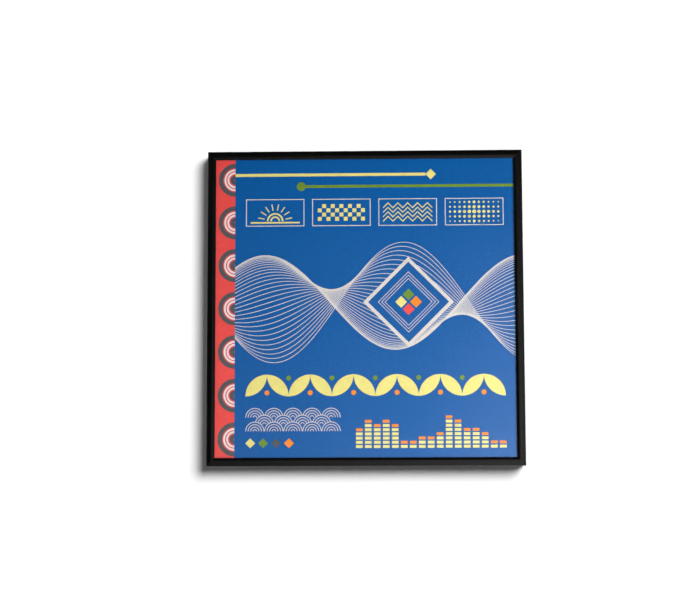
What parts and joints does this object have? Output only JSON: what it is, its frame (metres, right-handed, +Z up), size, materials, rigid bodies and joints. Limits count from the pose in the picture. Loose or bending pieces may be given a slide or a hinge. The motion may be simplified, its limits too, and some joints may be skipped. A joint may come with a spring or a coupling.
{
  "type": "record cover frame",
  "caption": "Square wall frame for a record cover: mitred black metal rails around glass, printed card and board, with spring clips, corner angles and ring hangers.",
  "frame": {"origin": "centre of the outer box: middle of the square, half way between the face's highest line and the backs of the wall pads", "axes": "-Y is the front that shows the cover, +Y faces the wall, +Z is up and +X is to the viewer's right"},
  "size_m": [0.32, 0.0222, 0.32],
  "materials": {
    "black_anodised_aluminium": "black anodised, satin",
    "clear_glass": "clear float glass, ground edges",
    "printed_card": "offset print, silk",
    "brown_hardboard": "pressed hardboard, raw",
    "zinc_plate": "zinc plated steel",
    "bright_steel": "bright nickel plated steel",
    "blued_spring_steel": "blued spring steel",
    "grey_rubber": "soft matte"
  },
  "bodies": {
    "frame": {"rail_bottom": "black_anodised_aluminium", "rail_left": "black_anodised_aluminium", "rail_right": "black_anodised_aluminium", "corner_angle_plain_bottom_left": "zinc_plate", "corner_angle_plain_bottom_right": "zinc_plate", "corner_angle_tapped_bottom_left": "zinc_plate", "corner_angle_tapped_bottom_right": "zinc_plate", "set_screw_bottom_left_in_bottom_rail": "bright_steel", "set_screw_bottom_left_in_left_rail": "bright_steel", "set_screw_bottom_right_in_bottom_rail": "bright_steel", "set_screw_bottom_right_in_right_rail": "bright_steel", "spring_clip_bottom_left": "blued_spring_steel", "spring_clip_bottom_right": "blued_spring_steel", "spring_clip_right_lower": "blued_spring_steel", "spring_clip_right_upper": "blued_spring_steel", "spring_clip_left_upper": "blued_spring_steel", "spring_clip_left_lower": "blued_spring_steel", "wall_pad_left": "grey_rubber", "wall_pad_right": "grey_rubber"},
    "top_rail": {"rail_top": "black_anodised_aluminium", "corner_angle_plain_top_right": "zinc_plate", "corner_angle_plain_top_left": "zinc_plate", "corner_angle_tapped_top_right": "zinc_plate", "corner_angle_tapped_top_left": "zinc_plate", "set_screw_top_right_in_top_rail": "bright_steel", "set_screw_top_right_in_right_rail": "bright_steel", "set_screw_top_left_in_top_rail": "bright_steel", "set_screw_top_left_in_left_rail": "bright_steel", "spring_clip_top_right": "blued_spring_steel", "spring_clip_top_left": "blued_spring_steel"},
    "pack": {"glass_sheet": "clear_glass", "cover_card": "printed_card", "backing_board": "brown_hardboard", "hanger_strap_left": "zinc_plate", "hanger_strap_right": "zinc_plate", "hanger_rivet_left": "bright_steel", "hanger_rivet_right": "bright_steel"},
    "left_ring": {"hang_ring_left": "bright_steel"},
    "right_ring": {"hang_ring_right": "bright_steel"}
  },
  "joints": [
    {"name": "top_rail_lift", "type": "slide", "parent": "frame", "child": "top_rail", "axis": [0, 0, 1], "range_m": [0, 0.36]},
    {"name": "pack_slide", "type": "slide", "parent": "frame", "child": "pack", "axis": [0, 0, 1], "range_m": [0, 0.306]},
    {"name": "left_ring_swing", "type": "hinge", "parent": "pack", "child": "left_ring", "pos_m": [-0.11, -0.0001, 0.1186], "axis": [1, 0, 0], "range_deg": [-2, 182]},
    {"name": "right_ring_swing", "type": "hinge", "parent": "pack", "child": "right_ring", "pos_m": [0.11, -0.0001, 0.1186], "axis": [1, 0, 0], "range_deg": [-2, 182]}
  ],
  "couplings": [
    {"joint": "pack_slide", "follows": "top_rail_lift", "ratio": 0.85}
  ]
}
